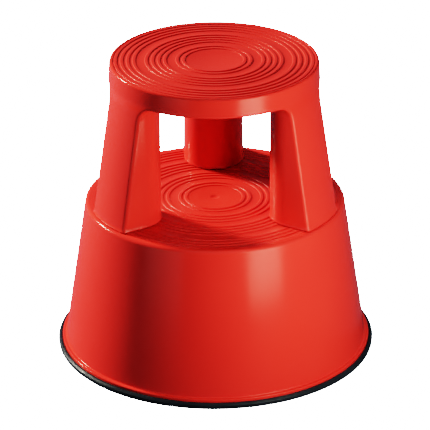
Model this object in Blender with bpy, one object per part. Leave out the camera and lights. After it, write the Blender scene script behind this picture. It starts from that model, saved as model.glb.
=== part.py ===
"""Kick step stool: a bell-shaped base with a lower tread, a top tread on three hollow legs,
a rubber bumper ring and three sprung swivel castors under the base.

Metres, +Z up. The stool's axis is the Z axis, the floor is z = 0 and the front is -Y.
"""

import math

import bmesh
import bpy
from mathutils import Matrix, Vector

# Overall sizes
TOTAL_HEIGHT = 0.431
STEP_HEIGHT = 0.2245
GAP = 0.0003
MERGE_DISTANCE = 2e-6
WALL = 0.0035
TREAD_THICKNESS = 0.004
ROUND_SEGMENTS = 60
RIB_SEGMENTS = 36
COLUMN_SEGMENTS = 24
SMALL_SEGMENTS = 18
PIN_SEGMENTS = 12

# Base shell
LIP_RADIUS = 0.2177
LIP_TOP = 0.018
LIP_BOTTOM = 0.0095
SKIRT_BOTTOM_RADIUS = 0.2126
SKIRT_TOP_RADIUS = 0.181
STEP_RIM_ROUND = 0.006
RIB_THICKNESS = 0.0026
RIB_DEPTH = 0.012
INNER_RING_RIB = 0.026
OUTER_RING_RIB = 0.110

# Bumper ring
BUMPER_RADIUS = 0.224
BUMPER_BOTTOM = 0.005
BUMPER_TOP = 0.0144

# Top step and its legs
TOP_RADIUS = 0.1445
TOP_RIM_ROUND = 0.0018
APRON_BOTTOM = 0.4025
APRON_SLOPE = 0.0577
WAIST_TOP = 0.411
WAIST_BOTTOM = 0.395
LEG_CONE_RADIUS = 0.1474
LEG_CONE_SLOPE = 0.160
LEG_FOOT = STEP_HEIGHT + GAP
LEG_HALF_WIDTH = 0.0432
LEG_TAPER = 0.0125
LEG_CORE_CENTRE = 0.1343
LEG_CORE_RADIUS = 0.0415
LEG_AZIMUTHS = (90.0, 210.0, 330.0)
FOOT_FLARE = 0.0025
FOOT_FLARE_HEIGHT = 0.006
ARCH_START = 0.383
ARCH_WIDTH = 0.019
EDGE_ROUND = 0.003
EDGE_STEPS = 2
TOP_RIB_DEPTH = 0.009
TOP_RING_RIB = 0.055

# Screws that hold the legs to the base
SCREW_RADIUS_POSITION = 0.140
SCREW_OFFSET = 0.017
SCREW_SHANK_RADIUS = 0.0024
SCREW_HEAD_RADIUS = 0.005
SCREW_TOP = STEP_HEIGHT + 0.0255
WASHER_RADIUS = 0.0075
WASHER_THICKNESS = 0.0012
BOSS_RADIUS = 0.0065
BOSS_TOP = STEP_HEIGHT + 0.0375
WEB_TOP = STEP_HEIGHT + 0.0345

# Castors
CASTOR_AZIMUTHS = (30.0, 150.0, 270.0)
CASTOR_POSITION = 0.150
COLUMN_RADIUS = 0.0185
COLUMN_BORE = 0.015
COLUMN_BOTTOM = 0.0553
GUSSET_BOTTOM = 0.075
SPRING_SEAT = 0.134
COLUMN_TOP_RADIUS = 0.013
COLUMN_TOP_BORE = 0.0095
COLUMN_TOP_BORE_END = STEP_HEIGHT - 0.0075
GUIDE_BOTTOM = 0.052
GUIDE_TOP = 0.072
PLUNGER_RADIUS = 0.011
PLUNGER_BOTTOM = 0.0433
PLUNGER_FLANGE_RADIUS = 0.0146
PLUNGER_FLANGE_TOP = 0.076
PLUNGER_SPIGOT_RADIUS = 0.0085
PLUNGER_SPIGOT_TOP = 0.088
STEM_RADIUS = 0.004
STEM_TOP = 0.072
SPRING_MEAN_RADIUS = 0.0114
SPRING_WIRE_RADIUS = 0.0012
SPRING_TURNS = 6
WHEEL_RADIUS = 0.019
WHEEL_TRAIL = 0.013
HUB_RADIUS = 0.013
HUB_HALF_WIDTH = 0.008
TYRE_HALF_WIDTH = 0.0078
AXLE_RADIUS = 0.003
FORK_TOP = 0.043
FORK_SHEET = 0.002
FORK_HALF_WIDTH = 0.012
FORK_EYE_RADIUS = 0.0075


# ---------------------------------------------------------------- helpers

def clear_scene():
    for obj in list(bpy.data.objects):
        bpy.data.objects.remove(obj, do_unlink=True)


def material(name, colour, roughness, metallic=0.0):
    mat = bpy.data.materials.new(name)
    mat.use_nodes = True
    shader = mat.node_tree.nodes["Principled BSDF"]
    shader.inputs["Base Color"].default_value = (*colour, 1.0)
    shader.inputs["Roughness"].default_value = roughness
    shader.inputs["Metallic"].default_value = metallic
    mat.diffuse_color = (*colour, 1.0)
    return mat


def finish_object(name, bm, mat=None, smooth_angle=35.0):
    """Turns the bmesh into a linked object with outward faces and soft round surfaces."""
    bmesh.ops.recalc_face_normals(bm, faces=bm.faces)
    mesh = bpy.data.meshes.new(name)
    bm.to_mesh(mesh)
    bm.free()
    if mat:
        mesh.materials.append(mat)
    mesh.shade_smooth()
    mesh.set_sharp_from_angle(angle=math.radians(smooth_angle))
    obj = bpy.data.objects.new(name, mesh)
    bpy.context.scene.collection.objects.link(obj)
    return obj


def revolve(bm, profile, centre=(0.0, 0.0), segments=ROUND_SEGMENTS):
    """Revolves a closed (radius, z) loop about a vertical axis through the centre."""
    rings = []
    for step in range(segments):
        angle = 2 * math.pi * step / segments
        ring = []
        for radius, z in profile:
            x = centre[0] + radius * math.cos(angle)
            y = centre[1] + radius * math.sin(angle)
            ring.append(bm.verts.new((x, y, z)))
        rings.append(ring)
    count = len(profile)
    for step in range(segments):
        here, there = rings[step], rings[(step + 1) % segments]
        for i in range(count):
            j = (i + 1) % count
            if profile[i][0] == 0.0 and profile[j][0] == 0.0:
                continue
            bm.faces.new((here[i], there[i], there[j], here[j]))
    bmesh.ops.remove_doubles(bm, verts=bm.verts, dist=1e-7)


def revolved(name, profile, mat=None, centre=(0.0, 0.0), segments=ROUND_SEGMENTS):
    bm = bmesh.new()
    revolve(bm, profile, centre, segments)
    return finish_object(name, bm, mat)


def prism(name, outline, thickness, frame, mat=None):
    """Extrudes a closed 2-D outline by +-thickness/2 along the frame's local Z."""
    bm = bmesh.new()
    half = thickness / 2
    low = [bm.verts.new(frame @ Vector((x, y, -half))) for x, y in outline]
    high = [bm.verts.new(frame @ Vector((x, y, half))) for x, y in outline]
    bm.faces.new(low)
    bm.faces.new(high)
    count = len(outline)
    for i in range(count):
        j = (i + 1) % count
        bm.faces.new((low[i], low[j], high[j], high[i]))
    return finish_object(name, bm, mat)


def upright_frame(azimuth_deg, origin=(0.0, 0.0)):
    """Frame whose local X points outwards at the azimuth, local Y up and local Z sideways."""
    turn = Matrix.Rotation(math.radians(azimuth_deg), 4, "Z")
    stand = Matrix.Rotation(math.radians(90.0), 4, "X")
    return Matrix.Translation((*origin, 0.0)) @ turn @ stand


def apply_boolean(target, tools, operation):
    """Applies one exact Boolean per tool to the target and removes the tools."""
    for tool in tools:
        modifier = target.modifiers.new("cut", "BOOLEAN")
        modifier.operation = operation
        modifier.solver = "EXACT"
        modifier.object = tool
        graph = bpy.context.evaluated_depsgraph_get()
        mesh = bpy.data.meshes.new_from_object(target.evaluated_get(graph))
        target.modifiers.clear()
        bm = bmesh.new()
        bm.from_mesh(mesh)
        bmesh.ops.remove_doubles(bm, verts=bm.verts, dist=MERGE_DISTANCE)
        bmesh.ops.dissolve_degenerate(bm, edges=bm.edges, dist=MERGE_DISTANCE)
        bm.to_mesh(mesh)
        bm.free()
        target.data = mesh
        bpy.data.objects.remove(tool, do_unlink=True)
    target.data.name = target.name


def polar(radius, azimuth_deg):
    angle = math.radians(azimuth_deg)
    return radius * math.cos(angle), radius * math.sin(angle)


def move_origin(obj, point):
    """Puts the object's origin at the point and leaves its shape where it is."""
    offset = Vector(point)
    obj.data.transform(Matrix.Translation(-offset))
    obj.location = offset


# ---------------------------------------------------------------- base shell

def skirt_radius(z):
    share = (z - LIP_TOP) / (STEP_HEIGHT - LIP_TOP)
    return SKIRT_BOTTOM_RADIUS + (SKIRT_TOP_RADIUS - SKIRT_BOTTOM_RADIUS) * share


def base_profile():
    """Closed (radius, z) loop of the moulded base: lip, skirt, rim and lower tread."""
    flange_under = LIP_TOP - WALL
    rim_start = STEP_HEIGHT - STEP_RIM_ROUND
    plate_under = STEP_HEIGHT - TREAD_THICKNESS
    loop = [
        (LIP_RADIUS - WALL, LIP_BOTTOM),
        (LIP_RADIUS, LIP_BOTTOM),
        (LIP_RADIUS, LIP_TOP - 0.0015),
        (LIP_RADIUS - 0.0015, LIP_TOP),
        (skirt_radius(LIP_TOP) + 0.0012, LIP_TOP),
        (skirt_radius(LIP_TOP + 0.0015), LIP_TOP + 0.0015),
    ]
    centre_radius = skirt_radius(rim_start) - STEP_RIM_ROUND
    for angle in (0.0, 30.0, 60.0, 90.0):
        turn = math.radians(angle)
        r = centre_radius + STEP_RIM_ROUND * math.cos(turn)
        loop.append((r, rim_start + STEP_RIM_ROUND * math.sin(turn)))
    loop += [(0.0, STEP_HEIGHT), (0.0, plate_under)]
    loop.append((skirt_radius(plate_under) - WALL - 0.003, plate_under))
    loop.append((skirt_radius(plate_under - 0.003) - WALL, plate_under - 0.003))
    loop.append((skirt_radius(flange_under) - WALL, flange_under))
    loop.append((LIP_RADIUS - WALL, flange_under))
    return loop


def column_profile():
    """Closed (radius, z) loop of one castor column with its stepped blind bore."""
    plate_middle = STEP_HEIGHT - TREAD_THICKNESS / 2
    return [
        (COLUMN_BORE, COLUMN_BOTTOM),
        (COLUMN_RADIUS, COLUMN_BOTTOM),
        (COLUMN_RADIUS, SPRING_SEAT + 0.004),
        (COLUMN_TOP_RADIUS, SPRING_SEAT + 0.012),
        (COLUMN_TOP_RADIUS, plate_middle),
        (0.0, plate_middle),
        (0.0, COLUMN_TOP_BORE_END),
        (COLUMN_TOP_BORE, COLUMN_TOP_BORE_END),
        (COLUMN_TOP_BORE, SPRING_SEAT),
        (COLUMN_BORE, SPRING_SEAT),
    ]


def castor_gusset(azimuth):
    """Web from a castor column outwards to the skirt."""
    plate_middle = STEP_HEIGHT - TREAD_THICKNESS / 2
    lower_wall = CASTOR_POSITION + (COLUMN_BORE + COLUMN_RADIUS) / 2
    upper_wall = CASTOR_POSITION + (COLUMN_TOP_BORE + COLUMN_TOP_RADIUS) / 2
    outline = [
        (lower_wall, GUSSET_BOTTOM),
        (skirt_radius(GUSSET_BOTTOM) - WALL / 2, GUSSET_BOTTOM),
        (skirt_radius(plate_middle) - WALL / 2, plate_middle),
        (upper_wall, plate_middle),
        (upper_wall, SPRING_SEAT + 0.012),
        (lower_wall, SPRING_SEAT),
    ]
    return prism("web", outline, RIB_THICKNESS, upright_frame(azimuth))


def base_ribs():
    """Radial ribs and two ring ribs under the lower tread."""
    plate_under = STEP_HEIGHT - TREAD_THICKNESS
    plate_middle = STEP_HEIGHT - TREAD_THICKNESS / 2
    rib_bottom = plate_under - RIB_DEPTH
    tools = []
    for radius in (INNER_RING_RIB, OUTER_RING_RIB):
        half = RIB_THICKNESS / 2
        loop = [
            (radius - half, rib_bottom + 0.004),
            (radius + half, rib_bottom + 0.004),
            (radius + half, plate_middle),
            (radius - half, plate_middle),
        ]
        tools.append(revolved("ring", loop, segments=RIB_SEGMENTS))
    end_bottom = skirt_radius(rib_bottom) - WALL / 2
    end_top = skirt_radius(plate_middle) - WALL / 2
    outline = [
        (INNER_RING_RIB, rib_bottom),
        (end_bottom, rib_bottom),
        (end_top, plate_middle),
        (INNER_RING_RIB, plate_middle),
    ]
    for azimuth in range(10, 370, 40):
        tools.append(prism("rib", outline, RIB_THICKNESS, upright_frame(azimuth)))
    return tools


def screw_points():
    points = []
    for azimuth in LEG_AZIMUTHS:
        out = Vector(polar(1.0, azimuth))
        side = Vector((-out.y, out.x))
        for sign in (-1, 1):
            points.append(out * SCREW_RADIUS_POSITION + side * SCREW_OFFSET * sign)
    return points


def cylinder(name, radius, low, high, centre, segments=PIN_SEGMENTS, mat=None):
    loop = [(0.0, low), (radius, low), (radius, high), (0.0, high)]
    return revolved(name, loop, mat, centre, segments)


def make_base_shell(mat):
    shell = revolved("base_shell", base_profile(), mat)
    tools = base_ribs()
    for azimuth in CASTOR_AZIMUTHS:
        centre = polar(CASTOR_POSITION, azimuth)
        tools.append(revolved("column", column_profile(), None, centre, COLUMN_SEGMENTS))
        tools.append(castor_gusset(azimuth))
    apply_boolean(shell, tools, "UNION")
    hole = SCREW_SHANK_RADIUS + GAP
    plate_under = STEP_HEIGHT - TREAD_THICKNESS
    cutters = []
    for point in screw_points():
        cutters.append(cylinder("hole", hole, plate_under - 0.005, STEP_HEIGHT + 0.005, point))
    apply_boolean(shell, cutters, "DIFFERENCE")
    return shell


# ---------------------------------------------------------------- bumper

def make_bumper(mat):
    inner = LIP_RADIUS - WALL - GAP
    slot = LIP_BOTTOM - GAP
    outer_slot = LIP_RADIUS + GAP
    loop = [
        (inner - WALL, LIP_TOP - WALL - GAP),
        (inner, LIP_TOP - WALL - GAP),
        (inner, slot),
        (outer_slot, slot),
        (outer_slot, BUMPER_TOP),
        (outer_slot + 0.0026, BUMPER_TOP - 0.0005),
        (BUMPER_RADIUS - 0.0012, BUMPER_TOP - 0.0021),
        (BUMPER_RADIUS, BUMPER_TOP - 0.0045),
        (BUMPER_RADIUS - 0.0008, BUMPER_BOTTOM + 0.0018),
        (BUMPER_RADIUS - 0.0028, BUMPER_BOTTOM + 0.0004),
        (BUMPER_RADIUS - 0.005, BUMPER_BOTTOM),
        (inner - WALL + 0.0015, BUMPER_BOTTOM),
        (inner - WALL, BUMPER_BOTTOM + 0.0015),
    ]
    return revolved("bumper_ring", loop, mat)


# ---------------------------------------------------------------- top step

def outer_radius(z):
    """Radius of the top step's outer surface: apron, concave waist, leg cone, foot flare."""
    apron = TOP_RADIUS + (TOTAL_HEIGHT - z) * APRON_SLOPE
    cone = LEG_CONE_RADIUS + (APRON_BOTTOM - z) * LEG_CONE_SLOPE
    if z >= WAIST_TOP:
        return apron
    if z <= WAIST_BOTTOM:
        share = max(0.0, 1.0 - (z - LEG_FOOT) / FOOT_FLARE_HEIGHT)
        return cone + FOOT_FLARE * share ** 2
    span = WAIST_TOP - WAIST_BOTTOM
    share = (z - WAIST_BOTTOM) / span
    blend = share * share * (3 - 2 * share)
    return cone * (1 - blend) + apron * blend


def surface_point(v, z, depth=0.0):
    """Point at the sideways offset v and the depth under the outer surface."""
    radius = outer_radius(z) - depth
    return Vector((math.sqrt(radius * radius - v * v), v, z))


def straight_half_width(z):
    return LEG_HALF_WIDTH - (z - LEG_FOOT) * LEG_TAPER


class LegSection:
    """Corner, side wall and round inner side of one leg at a height, on the +v side."""

    def __init__(self, z, half_width):
        corner = surface_point(half_width, z)
        core = Vector((LEG_CORE_CENTRE, 0.0, z))
        arm = corner - core
        self.z = z
        self.core = core
        self.turn = math.atan2(arm.y, arm.x) + math.acos(LEG_CORE_RADIUS / arm.length)
        tangent = self.core_point(self.turn, LEG_CORE_RADIUS)
        self.along = (tangent - corner).normalized()

    def core_point(self, angle, radius):
        offset = Vector((math.cos(angle), math.sin(angle), 0.0)) * radius
        return self.core + offset

    def core_arc(self, radius, count):
        """Points from the side wall's tangent round to the leg's middle plane."""
        points = []
        for i in range(count + 1):
            angle = self.turn + (math.pi - self.turn) * i / count
            points.append(self.core_point(angle, radius))
        return points

    def inner_corner(self):
        """Where the inside of the side wall meets the inside of the outer face."""
        start = self.core_point(self.turn, LEG_CORE_RADIUS - WALL)
        line = -self.along
        radius = outer_radius(self.z) - WALL
        half = start.x * line.x + start.y * line.y
        rest = start.x ** 2 + start.y ** 2 - radius * radius
        distance = -half + math.sqrt(half * half - rest)
        return start + line * distance


def leg_edge(angle_deg):
    """Edge half-width, height and inward normal on the arch; 0 is its foot, 90 its crown."""
    turn = math.radians(angle_deg)
    height = APRON_BOTTOM - ARCH_START
    across = -math.cos(turn) / ARCH_WIDTH
    up = math.sin(turn) / height
    size = math.hypot(across, up)
    v = straight_half_width(ARCH_START) + ARCH_WIDTH * (1 - math.cos(turn))
    z = ARCH_START + height * math.sin(turn)
    return v, z, (across / size, up / size)


def leg_edges():
    """Edge rows up one leg: the straight leg first, then the arch to the apron's edge."""
    rows = []
    for z in (LEG_FOOT, LEG_FOOT + FOOT_FLARE_HEIGHT / 3, LEG_FOOT + FOOT_FLARE_HEIGHT):
        rows.append((straight_half_width(z), z, (-1.0, 0.0)))
    for angle in (0, 18, 36, 54, 72, 90):
        rows.append(leg_edge(angle))
    return rows


def add_grid(bm, rows):
    """Adds quads between rows of points; points that coincide are merged later."""
    made = [[bm.verts.new(point) for point in row] for row in rows]
    for low, high in zip(made, made[1:]):
        for i in range(len(low) - 1):
            bm.faces.new((low[i], low[i + 1], high[i + 1], high[i]))


def ring_points(radius, z, angles):
    return [Vector((radius * math.cos(a), radius * math.sin(a), z)) for a in angles]


def edge_round_points(v, z, normal):
    """Points round the leg's edge, from the outer face to the side wall."""
    points = []
    for i in range(EDGE_STEPS + 1):
        turn = math.pi / 2 * i / EDGE_STEPS
        inset = EDGE_ROUND * (1 - math.sin(turn))
        depth = EDGE_ROUND * (1 - math.cos(turn))
        points.append(surface_point(v + normal[0] * inset, z + normal[1] * inset, depth))
    return points


def half_leg(bm, face_steps=4, core_steps=5, window_steps=5):
    """One sixth of the top step: from the middle of a leg to the middle of a window."""
    skin = []
    for v, z, normal in leg_edges():
        round_points = edge_round_points(v, z, normal)
        edge = round_points[0]
        row = [surface_point(edge.y * i / face_steps, edge.z) for i in range(face_steps)]
        row += round_points
        row += LegSection(z, v).core_arc(LEG_CORE_RADIUS, core_steps)
        skin.append(row)
    add_grid(bm, skin)

    # Hollow inside of the leg, open at the foot
    plate_under = TOTAL_HEIGHT - TREAD_THICKNESS
    edges = leg_edges()
    levels = [edges[0][:2], edges[2][:2]] + [edge[:2] for edge in edges[3::2]]
    levels += [(edges[-1][0], WAIST_TOP), (edges[-1][0], plate_under)]
    hollow = []
    for v, z in levels:
        section = LegSection(z, v)
        corner = section.inner_corner()
        row = [surface_point(corner.y * i / face_steps, z, WALL) for i in range(face_steps)]
        row.append(corner)
        row += section.core_arc(LEG_CORE_RADIUS - WALL, core_steps)
        hollow.append(row)
    add_grid(bm, hollow)
    foot_inside = list(hollow[0])
    repeats = len(skin[0]) - len(foot_inside)
    foot_inside[face_steps:face_steps] = [foot_inside[face_steps]] * repeats
    add_grid(bm, [skin[0], foot_inside])

    # Apron: outer face, rim, lower edge and inner face
    top_row = skin[-1]
    edge_angle = math.atan2(top_row[face_steps].y, top_row[face_steps].x)
    window = [edge_angle]
    for i in range(1, window_steps + 1):
        window.append(edge_angle + (math.pi / 3 - edge_angle) * i / window_steps)
    face_angles = [math.atan2(p.y, p.x) for p in top_row[:face_steps]] + window
    edge_z = APRON_BOTTOM + EDGE_ROUND
    outer = [ring_points(outer_radius(edge_z), edge_z, face_angles)]
    outer[0][: face_steps + 1] = top_row[: face_steps + 1]
    outer.append(ring_points(outer_radius(WAIST_TOP), WAIST_TOP, face_angles))
    rim_z = TOTAL_HEIGHT - TOP_RIM_ROUND
    for angle in (0.0, 30.0, 60.0, 90.0):
        turn = math.radians(angle)
        radius = outer_radius(rim_z) - TOP_RIM_ROUND * (1 - math.cos(turn))
        outer.append(ring_points(radius, rim_z + TOP_RIM_ROUND * math.sin(turn), face_angles))
    add_grid(bm, outer)

    lower_edge = []
    for i in range(EDGE_STEPS + 1):
        turn = math.pi / 2 * i / EDGE_STEPS
        z = APRON_BOTTOM + EDGE_ROUND * (1 - math.sin(turn))
        radius = outer_radius(z) - EDGE_ROUND * (1 - math.cos(turn))
        row = ring_points(radius, z, window)
        row[0] = top_row[face_steps + i]
        lower_edge.append(row)
    add_grid(bm, lower_edge)

    inner = [lower_edge[-1]]
    walls = []
    half_width = edges[-1][0]
    for z in (APRON_BOTTOM, plate_under):
        section = LegSection(z, half_width)
        walls.append(section.core_arc(LEG_CORE_RADIUS, core_steps))
    crown = top_row[face_steps + EDGE_STEPS]
    upper = surface_point(crown.y, plate_under, WALL)
    upper_row = ring_points(outer_radius(plate_under) - WALL, plate_under, window)
    upper_row[0] = upper
    inner.append(upper_row)
    walls[0].insert(0, crown)
    walls[1].insert(0, upper)
    add_grid(bm, inner)
    add_grid(bm, walls)


def top_ribs():
    """Ring rib and radial ribs under the top tread, clear of the legs."""
    plate_middle = TOTAL_HEIGHT - TREAD_THICKNESS / 2
    bottom = TOTAL_HEIGHT - TREAD_THICKNESS - TOP_RIB_DEPTH
    half = RIB_THICKNESS / 2
    ring = [
        (TOP_RING_RIB - half, bottom + 0.002),
        (TOP_RING_RIB + half, bottom + 0.002),
        (TOP_RING_RIB + half, plate_middle),
        (TOP_RING_RIB - half, plate_middle),
    ]
    tools = [revolved("ring", ring, segments=RIB_SEGMENTS)]
    ends = []
    for azimuth in LEG_AZIMUTHS:
        ends.append((azimuth, LEG_CORE_CENTRE - LEG_CORE_RADIUS + WALL / 2))
        ends.append((azimuth + 60.0, outer_radius(bottom) - WALL / 2))
    for azimuth, end in ends:
        outline = [(TOP_RING_RIB, bottom), (end, bottom)]
        outline += [(end, plate_middle), (TOP_RING_RIB, plate_middle)]
        tools.append(prism("rib", outline, RIB_THICKNESS, upright_frame(azimuth)))
    return tools


def leg_bosses():
    """Per leg a cross web with two screw bosses, inside the hollow foot."""
    tools = []
    half = LEG_CORE_RADIUS - WALL / 2
    low = LEG_FOOT + 0.001
    outline = [(-half, low), (half, low), (half, WEB_TOP), (-half, WEB_TOP)]
    for azimuth in LEG_AZIMUTHS:
        out = Vector(polar(1.0, azimuth))
        frame = upright_frame(azimuth + 90.0, out * SCREW_RADIUS_POSITION)
        tools.append(prism("web", outline, RIB_THICKNESS, frame))
    for point in screw_points():
        tools.append(cylinder("boss", BOSS_RADIUS, LEG_FOOT, BOSS_TOP, point))
    return tools


def make_top_step(mat):
    bm = bmesh.new()
    half_leg(bm)
    bmesh.ops.remove_doubles(bm, verts=bm.verts, dist=MERGE_DISTANCE)
    third = bm.verts[:] + bm.edges[:] + bm.faces[:]
    copied = bmesh.ops.duplicate(bm, geom=third)["geom"]
    copied_verts = [item for item in copied if isinstance(item, bmesh.types.BMVert)]
    bmesh.ops.scale(bm, vec=(1.0, -1.0, 1.0), verts=copied_verts)
    copied_faces = [item for item in copied if isinstance(item, bmesh.types.BMFace)]
    bmesh.ops.reverse_faces(bm, faces=copied_faces)
    leg = bm.verts[:] + bm.edges[:] + bm.faces[:]
    leg_verts = bm.verts[:]
    for azimuth in LEG_AZIMUTHS[1:]:
        copied = bmesh.ops.duplicate(bm, geom=leg)["geom"]
        verts = [item for item in copied if isinstance(item, bmesh.types.BMVert)]
        turn = Matrix.Rotation(math.radians(azimuth), 3, "Z")
        bmesh.ops.rotate(bm, cent=(0.0, 0.0, 0.0), matrix=turn, verts=verts)
    turn = Matrix.Rotation(math.radians(LEG_AZIMUTHS[0]), 3, "Z")
    bmesh.ops.rotate(bm, cent=(0.0, 0.0, 0.0), matrix=turn, verts=leg_verts)
    bmesh.ops.remove_doubles(bm, verts=bm.verts, dist=MERGE_DISTANCE)
    open_edges = [edge for edge in bm.edges if edge.is_boundary]
    bmesh.ops.holes_fill(bm, edges=open_edges, sides=0)
    step = finish_object("top_step", bm, mat)
    apply_boolean(step, top_ribs() + leg_bosses(), "UNION")
    hole = SCREW_SHANK_RADIUS + GAP
    cutters = []
    for point in screw_points():
        cutters.append(cylinder("hole", hole, LEG_FOOT - 0.005, SCREW_TOP + 0.004, point))
    apply_boolean(step, cutters, "DIFFERENCE")
    return step


# ---------------------------------------------------------------- fasteners

def make_screw(name, mat, point):
    washer_under = STEP_HEIGHT - TREAD_THICKNESS - GAP - WASHER_THICKNESS
    head_top = washer_under - GAP
    loop = [
        (0.0, head_top - 0.003),
        (SCREW_HEAD_RADIUS - 0.0012, head_top - 0.003),
        (SCREW_HEAD_RADIUS, head_top - 0.0016),
        (SCREW_HEAD_RADIUS, head_top),
        (SCREW_SHANK_RADIUS, head_top),
        (SCREW_SHANK_RADIUS, SCREW_TOP - 0.004),
        (0.0, SCREW_TOP),
    ]
    return revolved(name, loop, mat, point, PIN_SEGMENTS)


def make_washer(name, mat, point):
    top = STEP_HEIGHT - TREAD_THICKNESS - GAP
    hole = SCREW_SHANK_RADIUS + GAP
    loop = [
        (hole, top - WASHER_THICKNESS),
        (WASHER_RADIUS, top - WASHER_THICKNESS),
        (WASHER_RADIUS, top),
        (hole, top),
    ]
    return revolved(name, loop, mat, point, PIN_SEGMENTS)


# ---------------------------------------------------------------- castors

def make_guide(name, mat, centre):
    bore = PLUNGER_RADIUS + GAP
    sleeve = COLUMN_BORE - GAP
    shoulder = COLUMN_BOTTOM - GAP
    loop = [
        (bore, GUIDE_BOTTOM),
        (COLUMN_RADIUS - 0.001, GUIDE_BOTTOM),
        (COLUMN_RADIUS, GUIDE_BOTTOM + 0.001),
        (COLUMN_RADIUS, shoulder),
        (sleeve, shoulder),
        (sleeve, GUIDE_TOP),
        (bore, GUIDE_TOP),
    ]
    return revolved(name, loop, mat, centre, SMALL_SEGMENTS)


def make_plunger(name, mat, centre):
    bore = STEM_RADIUS + GAP
    flange_under = GUIDE_TOP + GAP
    loop = [
        (bore, PLUNGER_BOTTOM),
        (PLUNGER_RADIUS, PLUNGER_BOTTOM),
        (PLUNGER_RADIUS, flange_under),
        (PLUNGER_FLANGE_RADIUS, flange_under),
        (PLUNGER_FLANGE_RADIUS, PLUNGER_FLANGE_TOP),
        (PLUNGER_SPIGOT_RADIUS, PLUNGER_FLANGE_TOP),
        (PLUNGER_SPIGOT_RADIUS, PLUNGER_SPIGOT_TOP - 0.002),
        (PLUNGER_SPIGOT_RADIUS - 0.002, PLUNGER_SPIGOT_TOP),
        (0.0, PLUNGER_SPIGOT_TOP),
        (0.0, STEM_TOP + 0.001),
        (bore, STEM_TOP + 0.001),
    ]
    return revolved(name, loop, mat, centre, SMALL_SEGMENTS)


def make_spring(name, mat, centre):
    """Round-wire compression spring, closed at both ends."""
    bm = bmesh.new()
    low = PLUNGER_FLANGE_TOP + GAP + SPRING_WIRE_RADIUS
    high = SPRING_SEAT - GAP - SPRING_WIRE_RADIUS
    per_turn = 9
    sides = 5
    count = SPRING_TURNS * per_turn
    rings = []
    for step in range(count + 1):
        turns = step / per_turn
        end_pitch = 2.2 * SPRING_WIRE_RADIUS
        free_turns = SPRING_TURNS - 2
        pitch = (high - low - 2 * end_pitch) / free_turns
        rise = min(turns, 1.0) * end_pitch
        rise += min(max(turns - 1.0, 0.0), free_turns) * pitch
        rise += max(turns - 1.0 - free_turns, 0.0) * end_pitch
        angle = 2 * math.pi * turns
        out = Vector((math.cos(angle), math.sin(angle), 0.0))
        middle = Vector((*centre, low + rise)) + out * SPRING_MEAN_RADIUS
        ring = []
        for side in range(sides):
            turn = 2 * math.pi * side / sides
            offset = out * math.cos(turn) + Vector((0.0, 0.0, math.sin(turn)))
            ring.append(bm.verts.new(middle + offset * SPRING_WIRE_RADIUS))
        rings.append(ring)
    for here, there in zip(rings, rings[1:]):
        for i in range(sides):
            j = (i + 1) % sides
            bm.faces.new((here[i], here[j], there[j], there[i]))
    bm.faces.new(rings[0])
    bm.faces.new(rings[-1])
    return finish_object(name, bm, mat, 70.0)


def make_stem(name, mat, centre):
    crown_under = FORK_TOP - FORK_SHEET - GAP
    loop = [
        (0.0, crown_under - 0.0015),
        (0.0065, crown_under - 0.0015),
        (0.0065, crown_under),
        (STEM_RADIUS, crown_under),
        (STEM_RADIUS, STEM_TOP - 0.001),
        (STEM_RADIUS - 0.001, STEM_TOP),
        (0.0, STEM_TOP),
    ]
    return revolved(name, loop, mat, centre, PIN_SEGMENTS)


def sideways_cylinder(name, loop, frame, segments, mat=None):
    """Revolves a closed (radius, offset) loop about the frame's local Z."""
    obj = revolved(name, loop, mat, (0.0, 0.0), segments)
    obj.data.transform(frame)
    return obj


def make_fork(name, mat, frame):
    """Folded sheet fork: a U across the wheel, trimmed to the shape of its cheeks."""
    half = FORK_HALF_WIDTH
    inside = half - FORK_SHEET
    bottom = WHEEL_RADIUS - FORK_EYE_RADIUS - 0.002
    channel = [(-half, bottom), (-inside, bottom), (-inside, FORK_TOP - FORK_SHEET)]
    channel += [(inside, FORK_TOP - FORK_SHEET), (inside, bottom), (half, bottom)]
    channel += [(half, FORK_TOP - 0.0015), (half - 0.0015, FORK_TOP)]
    channel += [(-half + 0.0015, FORK_TOP), (-half, FORK_TOP - 0.0015)]
    across = frame @ Matrix.Rotation(math.radians(90.0), 4, "Y")
    fork = prism(name, channel, 0.080, across, mat)
    outline = [(-0.0115, FORK_TOP + 0.002), (-0.0115, FORK_TOP - 0.006)]
    start = math.radians(-140.0)
    for i in range(7):
        angle = start + math.radians(170.0) * i / 6
        x = WHEEL_TRAIL + FORK_EYE_RADIUS * math.cos(angle)
        outline.append((x, WHEEL_RADIUS + FORK_EYE_RADIUS * math.sin(angle)))
    outline += [(0.0125, FORK_TOP - 0.006), (0.0125, FORK_TOP + 0.002)]
    apply_boolean(fork, [prism("trim", outline, 0.060, frame)], "INTERSECT")
    axle_frame = frame @ Matrix.Translation((WHEEL_TRAIL, WHEEL_RADIUS, 0.0))
    hole = AXLE_RADIUS + GAP
    loop = [(0.0, -0.03), (hole, -0.03), (hole, 0.03), (0.0, 0.03)]
    stem_hole = STEM_RADIUS + GAP
    stand = frame @ Matrix.Rotation(math.radians(-90.0), 4, "X")
    stem_loop = [(0.0, 0.036), (stem_hole, 0.036), (stem_hole, 0.050), (0.0, 0.050)]
    cutters = [sideways_cylinder("hole", loop, axle_frame, PIN_SEGMENTS)]
    cutters.append(sideways_cylinder("hole", stem_loop, stand, PIN_SEGMENTS))
    apply_boolean(fork, cutters, "DIFFERENCE")
    return fork


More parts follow.
